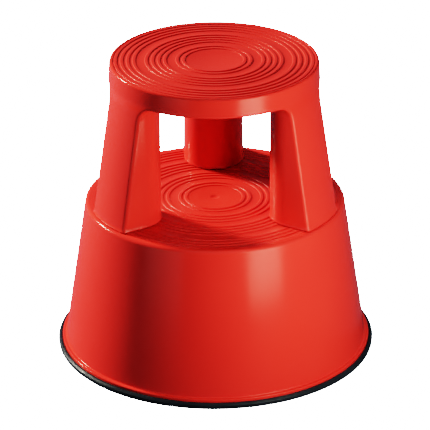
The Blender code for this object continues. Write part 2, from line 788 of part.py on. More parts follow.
def make_castor(number, azimuth, mats):
    """One sprung castor; its wheel trails sideways round the stool."""
    x, y = polar(CASTOR_POSITION, azimuth)
    prefix = f"castor_{number}_"
    frame = upright_frame(azimuth + 90.0, (x, y))
    make_guide(prefix + "guide", mats["guide"], (x, y))
    plunger = make_plunger(prefix + "plunger", mats["plunger"], (x, y))
    spring = make_spring(prefix + "spring", mats["spring"], (x, y))
    stem = make_stem(prefix + "stem", mats["zinc"], (x, y))
    fork = make_fork(prefix + "fork", mats["zinc"], frame)

    axle_frame = frame @ Matrix.Translation((WHEEL_TRAIL, WHEEL_RADIUS, 0.0))
    head = FORK_HALF_WIDTH + GAP
    axle_loop = [
        (0.0, -head - 0.0015),
        (0.0045, -head - 0.0015),
        (0.0045, -head),
        (AXLE_RADIUS, -head),
        (AXLE_RADIUS, head),
        (0.0045, head),
        (0.0045, head + 0.0015),
        (0.0, head + 0.0015),
    ]
    axle = sideways_cylinder(prefix + "axle", axle_loop, axle_frame, PIN_SEGMENTS, mats["axle"])
    bore = AXLE_RADIUS + GAP
    web = HUB_HALF_WIDTH - 0.003
    hub_loop = [
        (bore, -HUB_HALF_WIDTH),
        (0.0055, -HUB_HALF_WIDTH),
        (0.0055, -web),
        (HUB_RADIUS - 0.002, -web),
        (HUB_RADIUS - 0.002, -TYRE_HALF_WIDTH),
        (HUB_RADIUS, -TYRE_HALF_WIDTH),
        (HUB_RADIUS, TYRE_HALF_WIDTH),
        (HUB_RADIUS - 0.002, TYRE_HALF_WIDTH),
        (HUB_RADIUS - 0.002, web),
        (0.0055, web),
        (0.0055, HUB_HALF_WIDTH),
        (bore, HUB_HALF_WIDTH),
    ]
    hub = sideways_cylinder(prefix + "hub", hub_loop, axle_frame, SMALL_SEGMENTS, mats["hub"])
    inside = HUB_RADIUS + GAP
    half = TYRE_HALF_WIDTH - 0.0003
    tyre_loop = [
        (inside, -half),
        (WHEEL_RADIUS - 0.0014, -half),
        (WHEEL_RADIUS, -half + 0.0025),
        (WHEEL_RADIUS, half - 0.0025),
        (WHEEL_RADIUS - 0.0014, half),
        (inside, half),
    ]
    tyre = sideways_cylinder(prefix + "tyre", tyre_loop, axle_frame, COLUMN_SEGMENTS, mats["tyre"])

    for obj in (plunger, spring, stem, fork):
        move_origin(obj, (x, y, 0.0))
    for obj in (axle, hub, tyre):
        move_origin(obj, axle_frame.translation)


def main():
    clear_scene()
    red = material("red_moulded_plastic", (0.55, 0.031, 0.024), 0.25)
    red_top = material("red_moulded_plastic_top", (0.55, 0.031, 0.024), 0.28)
    rubber = material("black_rubber", (0.012, 0.012, 0.014), 0.6)
    zinc = material("zinc_plated_steel", (0.62, 0.63, 0.66), 0.35, 1.0)
    mats = {
        "guide": material("black_acetal_bush", (0.03, 0.03, 0.032), 0.45),
        "plunger": material("white_nylon_plunger", (0.72, 0.72, 0.69), 0.4),
        "spring": material("spring_steel", (0.34, 0.34, 0.36), 0.3, 1.0),
        "zinc": zinc,
        "axle": material("bright_axle_steel", (0.56, 0.57, 0.58), 0.25, 1.0),
        "hub": material("white_nylon_hub", (0.72, 0.72, 0.69), 0.4),
        "tyre": material("grey_wheel_tyre", (0.07, 0.072, 0.076), 0.6),
    }
    make_base_shell(red)
    make_top_step(red_top)
    make_bumper(rubber)
    for number, point in enumerate(screw_points(), start=1):
        make_screw(f"leg_screw_{number}", zinc, point)
        make_washer(f"leg_washer_{number}", zinc, point)
    for number, azimuth in enumerate(CASTOR_AZIMUTHS, start=1):
        make_castor(number, azimuth, mats)


main()
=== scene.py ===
"""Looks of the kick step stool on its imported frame: smooth red mouldings with ringed treads,
the black bumper, the sprung castors, their materials, the studio light and the camera.

Metres, +Z up, the stool's axis on Z, the floor at z = 0 and the front towards -Y.
"""

import math

import bmesh
import bpy
from mathutils import Matrix, Vector


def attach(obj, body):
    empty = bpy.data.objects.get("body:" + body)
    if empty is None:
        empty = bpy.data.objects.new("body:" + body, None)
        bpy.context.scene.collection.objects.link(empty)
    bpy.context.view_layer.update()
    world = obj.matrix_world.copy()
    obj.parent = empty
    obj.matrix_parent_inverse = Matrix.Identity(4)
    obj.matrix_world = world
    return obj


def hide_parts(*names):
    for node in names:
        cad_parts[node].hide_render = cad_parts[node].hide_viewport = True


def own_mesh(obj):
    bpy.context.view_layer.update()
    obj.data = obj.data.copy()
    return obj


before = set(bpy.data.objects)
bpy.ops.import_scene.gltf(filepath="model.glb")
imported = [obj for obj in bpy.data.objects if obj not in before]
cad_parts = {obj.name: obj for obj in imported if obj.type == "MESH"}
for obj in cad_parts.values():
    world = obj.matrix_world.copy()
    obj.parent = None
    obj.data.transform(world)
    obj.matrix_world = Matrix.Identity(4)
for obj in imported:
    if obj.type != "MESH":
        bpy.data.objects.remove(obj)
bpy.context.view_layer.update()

# Sizes shared with the solids
TOTAL_HEIGHT = 0.431
STEP_HEIGHT = 0.2245
WALL = 0.0035
TREAD_THICKNESS = 0.004
GAP = 0.0003

# Base shell
LIP_RADIUS = 0.2177
LIP_TOP = 0.018
LIP_BOTTOM = 0.0095
SKIRT_BOTTOM_RADIUS = 0.2126
SKIRT_TOP_RADIUS = 0.181
STEP_RIM_ROUND = 0.006
RIB_THICKNESS = 0.0026
RIB_DEPTH = 0.012
RING_RIBS = (0.026, 0.110)

# Bumper ring
BUMPER_RADIUS = 0.224
BUMPER_BOTTOM = 0.005
BUMPER_TOP = 0.0144

# Top step and its legs
TOP_RADIUS = 0.1445
APRON_BOTTOM = 0.4025
APRON_SLOPE = 0.0577
WAIST_TOP = 0.411
WAIST_BOTTOM = 0.395
LEG_CONE_RADIUS = 0.1474
LEG_CONE_SLOPE = 0.160
LEG_HALF_WIDTH = 0.0432
LEG_TAPER = 0.0125
LEG_CORE_CENTRE = 0.1343
LEG_CORE_RADIUS = 0.0415
LEG_AZIMUTHS = (90.0, 210.0, 330.0)
ARCH_START = 0.383
ARCH_WIDTH = 0.019
TOP_RIB_DEPTH = 0.009
TOP_RING_RIB = 0.055

# Screws that hold the legs to the base
SCREW_CIRCLE = 0.140
SCREW_OFFSET = 0.017
SCREW_SHANK_RADIUS = 0.0024
SCREW_HEAD_RADIUS = 0.0050
SCREW_TOP = STEP_HEIGHT + 0.0255
WASHER_RADIUS = 0.0075
WASHER_THICKNESS = 0.0012
BOSS_RADIUS = 0.0065
BOSS_TOP = STEP_HEIGHT + 0.0375
WEB_TOP = STEP_HEIGHT + 0.0345

# Castors
CASTOR_AZIMUTHS = (30.0, 150.0, 270.0)
CASTOR_CIRCLE = 0.150
COLUMN_RADIUS = 0.0185
COLUMN_BORE = 0.015
COLUMN_BOTTOM = 0.0553
GUSSET_BOTTOM = 0.075
SPRING_SEAT = 0.134
COLUMN_TOP_RADIUS = 0.013
COLUMN_TOP_BORE = 0.0095
COLUMN_TOP_BORE_END = STEP_HEIGHT - 0.0075
GUIDE_BOTTOM = 0.052
GUIDE_TOP = 0.072
PLUNGER_RADIUS = 0.011
PLUNGER_BOTTOM = 0.0433
PLUNGER_FLANGE_RADIUS = 0.0146
PLUNGER_FLANGE_TOP = 0.076
PLUNGER_SPIGOT_RADIUS = 0.0085
PLUNGER_SPIGOT_TOP = 0.088
STEM_RADIUS = 0.004
STEM_TOP = 0.072
WHEEL_RADIUS = 0.019
WHEEL_TRAIL = 0.013
HUB_RADIUS = 0.013
HUB_HALF_WIDTH = 0.008
AXLE_RADIUS = 0.0030
FORK_HALF_WIDTH = 0.012
SPRING_MEAN_RADIUS = 0.0114
SPRING_WIRE_RADIUS = 0.0012
SPRING_TURNS = 6

# Details that only the look has, or shapes a little differently from the solids
TOP_RIM_ROUND = 0.0034
EDGE_ROUND = 0.0042
FOOT_FLARE = 0.0016
FOOT_FLARE_HEIGHT = 0.005
FOOT_ROUND = 0.0014
LEG_FOOT = STEP_HEIGHT + 0.0018
COLUMN_NECK = SPRING_SEAT + 0.012
PLUNGER_BORE_TOP = 0.073
STEM_HEAD_RADIUS = 0.0065
STEM_HEAD_BOTTOM = 0.0392
STEM_HEAD_TOP = 0.0407
AXLE_HEAD_RADIUS = 0.0045
AXLE_HEAD_THICKNESS = 0.0015
TYRE_HALF_WIDTH = 0.0075
BOSS_BORE = 0.0025

# Raised anti-slip rings of the treads
RING_HEIGHT = 0.0009
RING_SECTION = (
    (0.0030, 0.0),
    (0.0027, 0.07),
    (0.0023, 0.5),
    (0.0019, 0.93),
    (0.0016, 1.0),
)
TOP_RINGS = [0.0422 + 0.0085 * n for n in (0, 1, 3, 4, 5, 6, 8, 9, 10, 11)]
STEP_RINGS = [0.0402 + 0.00855 * n for n in (0, 1, 3, 4, 5, 7, 8, 9, 10, 12, 13, 14)]
TOP_BAND_INSIDE = 0.1402
TOP_GRAIN_RADIUS = 0.1430
STEP_BAND_OUTSIDE = 0.1700
STEP_BAND_INSIDE = 0.1655
STEP_GRAIN_RADIUS = 0.1690


# ---------------------------------------------------------------- materials

class Shader:
    """A node material with one Principled shader and object coordinates."""

    def __init__(self, name, colour, roughness, **sockets):
        self.material = bpy.data.materials.new(name)
        self.material.use_nodes = True
        self.material.diffuse_color = (*colour, 1.0)
        self.tree = self.material.node_tree
        self.shader = self.tree.nodes["Principled BSDF"]
        self.coords = self.tree.nodes.new("ShaderNodeTexCoord").outputs["Object"]
        self.shader.inputs["Base Color"].default_value = (*colour, 1.0)
        self.shader.inputs["Roughness"].default_value = roughness
        for socket, value in sockets.items():
            self.shader.inputs[socket.replace("_", " ")].default_value = value

    def noise(self, scale, detail=3.0, roughness=0.5, stretch=(1.0, 1.0, 1.0)):
        mapping = self.tree.nodes.new("ShaderNodeMapping")
        mapping.inputs["Scale"].default_value = stretch
        self.tree.links.new(self.coords, mapping.inputs["Vector"])
        texture = self.tree.nodes.new("ShaderNodeTexNoise")
        texture.inputs["Scale"].default_value = scale
        texture.inputs["Detail"].default_value = detail
        texture.inputs["Roughness"].default_value = roughness
        self.tree.links.new(mapping.outputs["Vector"], texture.inputs["Vector"])
        return texture.outputs["Fac"]

    def remap(self, value, low, high, out_low, out_high):
        node = self.tree.nodes.new("ShaderNodeMapRange")
        for socket, number in zip(("From Min", "From Max", "To Min", "To Max"),
                                  (low, high, out_low, out_high)):
            node.inputs[socket].default_value = number
        self.tree.links.new(value, node.inputs["Value"])
        return node.outputs["Result"]

    def math(self, operation, first, second):
        node = self.tree.nodes.new("ShaderNodeMath")
        node.operation = operation
        for socket, value in zip(node.inputs, (first, second)):
            if isinstance(value, float):
                socket.default_value = value
            else:
                self.tree.links.new(value, socket)
        return node.outputs["Value"]

    def colour_mix(self, factor, first, second):
        node = self.tree.nodes.new("ShaderNodeMix")
        node.data_type = "RGBA"
        node.inputs["A"].default_value = (*first, 1.0)
        node.inputs["B"].default_value = (*second, 1.0)
        self.tree.links.new(factor, node.inputs["Factor"])
        self.tree.links.new(node.outputs["Result"], self.shader.inputs["Base Color"])

    def set_roughness(self, value):
        self.tree.links.new(value, self.shader.inputs["Roughness"])

    def bump(self, heights, distance):
        normal = None
        for height, strength in heights:
            node = self.tree.nodes.new("ShaderNodeBump")
            node.inputs["Strength"].default_value = strength
            node.inputs["Distance"].default_value = distance
            self.tree.links.new(height, node.inputs["Height"])
            if normal:
                self.tree.links.new(normal, node.inputs["Normal"])
            normal = node.outputs["Normal"]
        self.tree.links.new(normal, self.shader.inputs["Normal"])


def moulded_red(name, scuffed):
    """Glossy injection-moulded plastic; treads add a fine matte grain and faint scuffs."""
    made = Shader(name, (0.50, 0.032, 0.026), 0.24, IOR=1.49)
    clouds = made.remap(made.noise(5.0, 4.0), 0.3, 0.7, 0.0, 1.0)
    made.colour_mix(clouds, (0.485, 0.030, 0.025), (0.515, 0.034, 0.027))
    peel = made.noise(160.0, 2.0)
    grain = made.noise(2600.0, 2.0)
    patches = made.noise(14.0, 5.0, 0.6)
    if scuffed:
        rub = made.noise(90.0, 6.0, 0.75, (1.0, 3.0, 1.0))
        rough = made.remap(rub, 0.52, 0.75, 0.30, 0.42)
        made.set_roughness(made.math("MAXIMUM", rough, made.remap(patches, 0.3, 0.7, 0.28, 0.36)))
        made.bump(((peel, 0.10), (grain, 0.22)), 0.0004)
    else:
        made.set_roughness(made.remap(patches, 0.3, 0.7, 0.14, 0.20))
        made.bump(((peel, 0.10), (grain, 0.05)), 0.0004)
    return made.material


def rubber_material(name, dark, light, roughness):
    made = Shader(name, dark, roughness, IOR=1.5)
    made.colour_mix(made.remap(made.noise(30.0, 5.0, 0.6), 0.35, 0.7, 0.0, 1.0), dark, light)
    made.set_roughness(made.remap(made.noise(55.0, 4.0), 0.3, 0.7, roughness - 0.06, roughness + 0.08))
    made.bump(((made.noise(900.0, 3.0), 0.25),), 0.0003)
    return made.material


def metal_material(name, dark, light, roughness, stretch):
    made = Shader(name, light, roughness, Metallic=1.0)
    made.colour_mix(made.remap(made.noise(45.0, 5.0, 0.6), 0.35, 0.7, 0.0, 1.0), dark, light)
    brushed = made.noise(700.0, 3.0, 0.6, stretch)
    made.set_roughness(made.remap(brushed, 0.3, 0.7, roughness - 0.08, roughness + 0.1))
    made.bump(((brushed, 0.12),), 0.0002)
    return made.material


def plastic_material(name, dark, light, roughness):
    made = Shader(name, dark, roughness, IOR=1.48)
    made.colour_mix(made.remap(made.noise(25.0, 4.0), 0.3, 0.7, 0.0, 1.0), dark, light)
    made.set_roughness(made.remap(made.noise(80.0, 4.0), 0.3, 0.7, roughness - 0.05, roughness + 0.07))
    made.bump(((made.noise(1800.0, 2.0), 0.12),), 0.0002)
    return made.material


SHELL = moulded_red("red_moulding", False)
TREAD = moulded_red("red_tread", True)
RUBBER = rubber_material("black_rubber", (0.008, 0.010, 0.014), (0.017, 0.020, 0.026), 0.42)
TYRE = rubber_material("grey_tyre", (0.050, 0.052, 0.055), (0.085, 0.088, 0.092), 0.55)
ZINC = metal_material("zinc_plate", (0.50, 0.52, 0.54), (0.68, 0.69, 0.70), 0.33, (1.0, 1.0, 0.15))
WIRE = metal_material("spring_wire", (0.20, 0.20, 0.21), (0.38, 0.38, 0.39), 0.36, (1.0, 1.0, 1.0))
ACETAL = plastic_material("black_acetal", (0.018, 0.018, 0.020), (0.034, 0.034, 0.036), 0.38)
NYLON = plastic_material("white_nylon", (0.66, 0.66, 0.62), (0.78, 0.78, 0.75), 0.40)


# ---------------------------------------------------------------- mesh tools

def add_piece(name, bm, mats, body, nodes, smooth_angle=32.0):
    """Links the mesh as a piece that stands for the CAD nodes and rides on the body."""
    bmesh.ops.recalc_face_normals(bm, faces=bm.faces)
    mesh = bpy.data.meshes.new(name)
    bm.to_mesh(mesh)
    bm.free()
    for mat in mats:
        mesh.materials.append(mat)
    mesh.shade_smooth()
    mesh.set_sharp_from_angle(angle=math.radians(smooth_angle))
    piece = bpy.data.objects.new(name, mesh)
    bpy.context.scene.collection.objects.link(piece)
    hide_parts(*nodes)
    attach(piece, body)
    return piece


def filleted(corners, steps=4):
    """Closed 2-D loop from (x, y, fillet radius) corners; each fillet becomes an arc."""
    loop = []
    count = len(corners)
    for i, (x, y, radius) in enumerate(corners):
        corner = Vector((x, y))
        if radius == 0.0:
            loop.append((x, y))
            continue
        before = (Vector(corners[i - 1][:2]) - corner).normalized()
        after = (Vector(corners[(i + 1) % count][:2]) - corner).normalized()
        half = before.angle(after) / 2
        reach = radius / math.tan(half)
        centre = corner + (before + after).normalized() * radius / math.sin(half)
        start = corner + before * reach - centre
        end = corner + after * reach - centre
        sweep = math.copysign(math.pi - 2 * half, start.cross(end))
        for k in range(steps + 1):
            turn = sweep * k / steps
            cos, sin = math.cos(turn), math.sin(turn)
            arm = Vector((start.x * cos - start.y * sin, start.x * sin + start.y * cos))
            loop.append(tuple(centre + arm))
    return loop


def revolve(bm, loop, segments, transform=Matrix.Identity(4)):
    """Revolves a closed (radius, z) loop about the transform's Z axis."""
    rings = []
    for step in range(segments):
        angle = 2 * math.pi * step / segments
        cos, sin = math.cos(angle), math.sin(angle)
        rings.append([bm.verts.new(transform @ Vector((r * cos, r * sin, z))) for r, z in loop])
    count = len(loop)
    for step in range(segments):
        here, there = rings[step], rings[(step + 1) % segments]
        for i in range(count):
            j = (i + 1) % count
            if loop[i][0] > 0.0 or loop[j][0] > 0.0:
                bm.faces.new((here[i], there[i], there[j], here[j]))
    axis = [vert for ring in rings for vert, (r, _) in zip(ring, loop) if r == 0.0]
    bmesh.ops.remove_doubles(bm, verts=axis, dist=1e-7)


def prism(bm, outline, thickness, transform):
    """Extrudes a closed outline by +-thickness/2 along the transform's Z axis."""
    half = thickness / 2
    low = [bm.verts.new(transform @ Vector((x, y, -half))) for x, y in outline]
    high = [bm.verts.new(transform @ Vector((x, y, half))) for x, y in outline]
    bm.faces.new(low)
    bm.faces.new(high)
    for i in range(len(outline)):
        j = (i + 1) % len(outline)
        bm.faces.new((low[i], low[j], high[j], high[i]))


def add_grid(bm, rows):
    """Quads between rows of points; points that coincide are merged later."""
    made = [[bm.verts.new(point) for point in row] for row in rows]
    for low, high in zip(made, made[1:]):
        for i in range(len(low) - 1):
            bm.faces.new((low[i], low[i + 1], high[i + 1], high[i]))


def polar(radius, azimuth):
    angle = math.radians(azimuth)
    return Vector((radius * math.cos(angle), radius * math.sin(angle), 0.0))


def upright(azimuth, origin=(0.0, 0.0, 0.0)):
    """Frame whose X points outwards at the azimuth, Y up and Z sideways."""
    turn = Matrix.Rotation(math.radians(azimuth), 4, "Z")
    stand = Matrix.Rotation(math.radians(90.0), 4, "X")
    return Matrix.Translation(origin) @ turn @ stand


def rib(bm, start, end, bottom, end_top, top, azimuth):
    """Radial web from the start radius to the wall, whose radius may change with height."""
    corners = [(start, bottom), (end, bottom), (end_top, top), (start, top)]
    prism(bm, corners, RIB_THICKNESS, upright(azimuth))


def ring_rib(bm, radius, bottom, top):
    half = RIB_THICKNESS / 2
    corners = [(radius - half, bottom, 0.0008), (radius + half, bottom, 0.0008)]
    corners += [(radius + half, top, 0.0), (radius - half, top, 0.0)]
    revolve(bm, filleted(corners), 96)


def ringed_tread(rings, level, band_inside):
    """(radius, z) points of a tread from its rim band inwards over the rings to the centre."""
    valley = level - RING_HEIGHT
    points = []
    for offset, share in RING_SECTION[::-1]:
        points.append((band_inside - offset + RING_SECTION[-1][0], valley + RING_HEIGHT * share))
    for radius in rings[::-1]:
        for offset, share in RING_SECTION:
            points.append((radius + offset, valley + RING_HEIGHT * share))
        for offset, share in RING_SECTION[::-1]:
            points.append((radius - offset, valley + RING_HEIGHT * share))
    return points


# ---------------------------------------------------------------- base shell

def skirt_radius(z):
    share = (z - LIP_TOP) / (STEP_HEIGHT - LIP_TOP)
    return SKIRT_BOTTOM_RADIUS + (SKIRT_TOP_RADIUS - SKIRT_BOTTOM_RADIUS) * share


def castor_column(bm, azimuth, top):
    """Hollow column that holds one castor, with a gusset to the skirt."""
    column = [
        (COLUMN_BORE, COLUMN_BOTTOM, 0.0008),
        (COLUMN_RADIUS, COLUMN_BOTTOM, 0.0008),
        (COLUMN_RADIUS, SPRING_SEAT + 0.004, 0.003),
        (COLUMN_TOP_RADIUS, COLUMN_NECK, 0.003),
        (COLUMN_TOP_RADIUS, top, 0.0),
        (0.0, top, 0.0),
        (0.0, COLUMN_TOP_BORE_END, 0.0),
        (COLUMN_TOP_BORE, COLUMN_TOP_BORE_END, 0.001),
        (COLUMN_TOP_BORE, SPRING_SEAT, 0.0005),
        (COLUMN_BORE, SPRING_SEAT, 0.0005),
    ]
    revolve(bm, filleted(column), 48, Matrix.Translation(polar(CASTOR_CIRCLE, azimuth)))
    lower = CASTOR_CIRCLE + (COLUMN_BORE + COLUMN_RADIUS) / 2
    upper = CASTOR_CIRCLE + (COLUMN_TOP_BORE + COLUMN_TOP_RADIUS) / 2
    gusset = [
        (lower, GUSSET_BOTTOM),
        (skirt_radius(GUSSET_BOTTOM) - WALL / 2, GUSSET_BOTTOM),
        (skirt_radius(top) - WALL / 2, top),
        (upper, top),
        (upper, COLUMN_NECK),
        (lower, SPRING_SEAT),
    ]
    prism(bm, gusset, RIB_THICKNESS, upright(azimuth))


def make_base():
    bm = bmesh.new()
    flange_under = LIP_TOP - WALL
    plate_under = STEP_HEIGHT - TREAD_THICKNESS
    plate_middle = STEP_HEIGHT - TREAD_THICKNESS / 2
    corners = [
        (LIP_RADIUS - WALL, LIP_BOTTOM, 0.0008),
        (LIP_RADIUS, LIP_BOTTOM, 0.0008),
        (LIP_RADIUS, LIP_TOP, 0.0014),
        (skirt_radius(LIP_TOP), LIP_TOP, 0.0020),
        (skirt_radius(STEP_HEIGHT), STEP_HEIGHT, STEP_RIM_ROUND),
        (STEP_BAND_OUTSIDE, STEP_HEIGHT, 0.0),
    ]
    inside = [
        (STEP_BAND_OUTSIDE, plate_under, 0.0),
        (skirt_radius(plate_under) - WALL, plate_under, 0.004),
        (skirt_radius(flange_under) - WALL, flange_under, 0.002),
        (LIP_RADIUS - WALL, flange_under, 0.0),
    ]
    outline = filleted(corners + inside, 8)
    inner_start = outline.index((STEP_BAND_OUTSIDE, plate_under))
    tread = ringed_tread(STEP_RINGS, STEP_HEIGHT, STEP_BAND_INSIDE)
    valley = STEP_HEIGHT - RING_HEIGHT
    dimple = [
        (0.0075, valley),
        (0.0062, valley - 0.0002),
        (0.0050, valley - 0.0008),
        (0.0, valley - 0.0010),
    ]
    loop = outline[:inner_start] + tread + dimple + [(0.0, plate_under)] + outline[inner_start:]
    revolve(bm, loop, 192)
    shell_faces = len(bm.faces)

    rib_bottom = plate_under - RIB_DEPTH
    for radius in RING_RIBS:
        ring_rib(bm, radius, rib_bottom + 0.004, plate_middle)
    end_bottom = skirt_radius(rib_bottom) - WALL / 2
    end_top = skirt_radius(plate_middle) - WALL / 2
    for azimuth in range(10, 370, 40):
        rib(bm, RING_RIBS[0], end_bottom, rib_bottom, end_top, plate_middle, azimuth)
    for azimuth in CASTOR_AZIMUTHS:
        castor_column(bm, azimuth, plate_middle)
    paint_tread(bm, shell_faces, STEP_HEIGHT, STEP_GRAIN_RADIUS)
    add_piece("base_moulding", bm, (SHELL, TREAD), "stool", ("base_shell",))


def paint_tread(bm, count, level, radius):
    """Gives the tread's upward faces inside the radius the second material."""
    bm.faces.ensure_lookup_table()
    for face in bm.faces[:count]:
        centre = face.calc_center_median()
        if centre.z > level - 0.0025 and math.hypot(centre.x, centre.y) < radius:
            face.material_index = 1


# ---------------------------------------------------------------- bumper

def make_bumper():
    inner = LIP_RADIUS - WALL - GAP
    lip_under = LIP_BOTTOM - GAP
    groove = LIP_RADIUS + GAP
    flange = LIP_TOP - WALL - GAP
    corners = [
        (inner - WALL, flange, 0.0006),
        (inner, flange, 0.0003),
        (inner, lip_under, 0.0),
        (groove, lip_under, 0.0),
        (groove, BUMPER_TOP, 0.0006),
        (groove + 0.0030, BUMPER_TOP, 0.0012),
        (BUMPER_RADIUS, BUMPER_TOP - 0.0028, 0.0018),
        (BUMPER_RADIUS - 0.0006, BUMPER_BOTTOM + 0.0012, 0.0012),
        (BUMPER_RADIUS - 0.0040, BUMPER_BOTTOM, 0.0016),
        (inner - WALL, BUMPER_BOTTOM, 0.0012),
    ]
    bm = bmesh.new()
    revolve(bm, filleted(corners, 5), 240)
    add_piece("bumper", bm, (RUBBER,), "stool", ("bumper_ring",), 50.0)


# ---------------------------------------------------------------- top step

def outer_radius(z):
    """Outer surface of the top step: apron, concave waist, leg cone and foot flare."""
    apron = TOP_RADIUS + (TOTAL_HEIGHT - z) * APRON_SLOPE
    cone = LEG_CONE_RADIUS + (APRON_BOTTOM - z) * LEG_CONE_SLOPE
    if z >= WAIST_TOP:
        return apron
    if z <= WAIST_BOTTOM:
        share = max(0.0, 1.0 - (z - LEG_FOOT) / FOOT_FLARE_HEIGHT)
        return cone + FOOT_FLARE * share ** 2
    share = (z - WAIST_BOTTOM) / (WAIST_TOP - WAIST_BOTTOM)
    blend = share * share * (3 - 2 * share)
    return cone * (1 - blend) + apron * blend


def surface_point(v, z, depth=0.0):
    radius = outer_radius(z) - depth
    return Vector((math.sqrt(radius * radius - v * v), v, z))


def straight_half_width(z):
    return LEG_HALF_WIDTH - (z - LEG_FOOT) * LEG_TAPER


def foot_spread(z):
    """How far the side wall and the round inner side flare out near the foot."""
    share = max(0.0, 1.0 - (z - LEG_FOOT) / FOOT_FLARE_HEIGHT)
    return 0.6 * FOOT_FLARE * share ** 2


class LegSection:
    """Section of one leg at a height, on its +v side: corner, side wall, round inner side."""

    def __init__(self, z, half_width):
        self.z = z
        self.core = Vector((LEG_CORE_CENTRE, 0.0, z))
        self.radius = LEG_CORE_RADIUS + foot_spread(z)
        self.corner = surface_point(half_width, z)
        arm = self.corner - self.core
        self.turn = math.atan2(arm.y, arm.x) + math.acos(self.radius / arm.length)
        tangent = self.core_point(self.turn, self.radius)
        self.along = (tangent - self.corner).normalized()

    def core_point(self, angle, radius):
        return self.core + Vector((math.cos(angle), math.sin(angle), 0.0)) * radius

    def core_arc(self, inset, count):
        turns = [self.turn + (math.pi - self.turn) * i / count for i in range(count + 1)]
        return [self.core_point(turn, self.radius - inset) for turn in turns]

    def side_wall(self, start, count):
        """Points along the side wall from the start to just before the tangent."""
        end = self.core_point(self.turn, self.radius)
        return [start.lerp(end, i / count) for i in range(1, count)]

    def inner_corner(self):
        start = self.core_point(self.turn, self.radius - WALL)
        line = -self.along
        radius = outer_radius(self.z) - WALL
        half = start.x * line.x + start.y * line.y
        rest = start.x ** 2 + start.y ** 2 - radius * radius
        return start + line * (-half + math.sqrt(half * half - rest))


def leg_edges():
    """(half-width, height, inward normal) of the leg's edge from the foot over the arch."""
    edges = []
    flare = [FOOT_FLARE_HEIGHT * share for share in (0.0, 0.12, 0.3, 0.5, 0.75, 1.0)]
    upper = [0.03, 0.08, 0.12]
    for rise in flare + upper:
        z = LEG_FOOT + rise
        edges.append((straight_half_width(z) + foot_spread(z), z, (-1.0, 0.0)))
    height = APRON_BOTTOM - ARCH_START
    for degrees in range(0, 91, 9):
        turn = math.radians(degrees)
        across = -math.cos(turn) / ARCH_WIDTH
        up = math.sin(turn) / height
        size = math.hypot(across, up)
        v = straight_half_width(ARCH_START) + ARCH_WIDTH * (1 - math.cos(turn))
        edges.append((v, ARCH_START + height * math.sin(turn), (across / size, up / size)))
    return edges


FACE_STEPS = 14
FOOT_STEPS = 3
EDGE_STEPS = 6
WALL_STEPS = 4
CORE_STEPS = 16
WINDOW_STEPS = 14


def leg_skin(edges):
    """Rows of outer points, each from the leg's middle round its edge to its inner side."""
    skin = []
    for v, z, normal in edges:
        section = LegSection(z, v)
        fillet = []
        for i in range(EDGE_STEPS + 1):
            turn = math.pi / 2 * i / EDGE_STEPS
            inset = EDGE_ROUND * (1 - math.sin(turn))
            depth = EDGE_ROUND * (1 - math.cos(turn))
            point = surface_point(v + normal[0] * inset, z + normal[1] * inset)
            fillet.append(point + section.along * depth)
        face_z = fillet[0].z
        row = [surface_point(fillet[0].y * i / FACE_STEPS, face_z) for i in range(FACE_STEPS)]
        row += fillet
        row += section.side_wall(fillet[-1], WALL_STEPS)
        row += section.core_arc(0.0, CORE_STEPS)
        skin.append(row)
    return skin


def leg_hollow(edges, plate_under):
    """Rows of the points inside the leg, matching the skin's, up to the top plate."""
    crown = edges[-1][0]
    levels = [edge[:2] for edge in edges] + [(crown, WAIST_TOP), (crown, plate_under)]
    hollow = []
    for v, z in levels:
        section = LegSection(z, v)
        corner = section.inner_corner()
        row = [surface_point(corner.y * i / FACE_STEPS, z, WALL) for i in range(FACE_STEPS)]
        row += [corner] * (EDGE_STEPS + 1)
        row += section.side_wall(corner, WALL_STEPS)
        row += section.core_arc(WALL, CORE_STEPS)
        hollow.append(row)
    return hollow


def leg_foot(outer_row, inner_row):
    """Rows round the foot's lower edge, from the skin to the hollow."""
    rows = [outer_row]
    for i in range(1, FOOT_STEPS + 1):
        turn = math.pi / 2 * i / FOOT_STEPS
        drop = Vector((0.0, 0.0, FOOT_ROUND * math.sin(turn)))
        share = FOOT_ROUND * (1 - math.cos(turn)) / WALL
        rows.append([outer.lerp(inner, share) - drop for outer, inner in zip(outer_row, inner_row)])
    rows.append([inner - drop for inner in inner_row])
    return rows + [inner_row]


